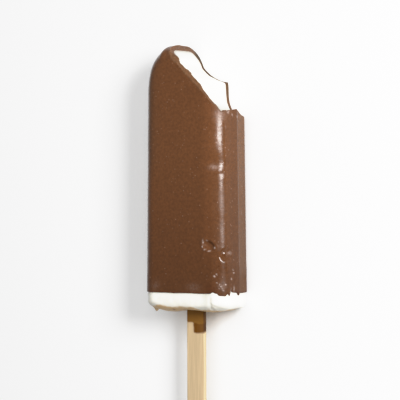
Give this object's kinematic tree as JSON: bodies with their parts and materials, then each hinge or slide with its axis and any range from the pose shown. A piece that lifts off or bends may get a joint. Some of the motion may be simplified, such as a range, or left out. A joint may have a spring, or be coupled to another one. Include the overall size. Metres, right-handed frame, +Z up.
{
  "type": "ice cream bar",
  "caption": "Chocolate-coated vanilla ice cream bar with a round tip on a flat wooden stick, a bite gone from its upper right; it lies on its flat back.",
  "frame": {"origin": "centre of the whole bar with its stick, on the surface it lies on", "axes": "+X across the bar towards the bitten side, +Y along the bar towards its round tip, +Z up through the front face"},
  "size_m": [0.0438, 0.1644, 0.022],
  "materials": {
    "milk_chocolate": "satin, set milk chocolate",
    "vanilla_ice_cream": "matt, frozen cream",
    "birch_wood": "bare, smooth sawn wood"
  },
  "bodies": {
    "root": {"chocolate_coating": "milk_chocolate", "ice_cream": "vanilla_ice_cream", "stick": "birch_wood"}
  },
  "joints": []
}
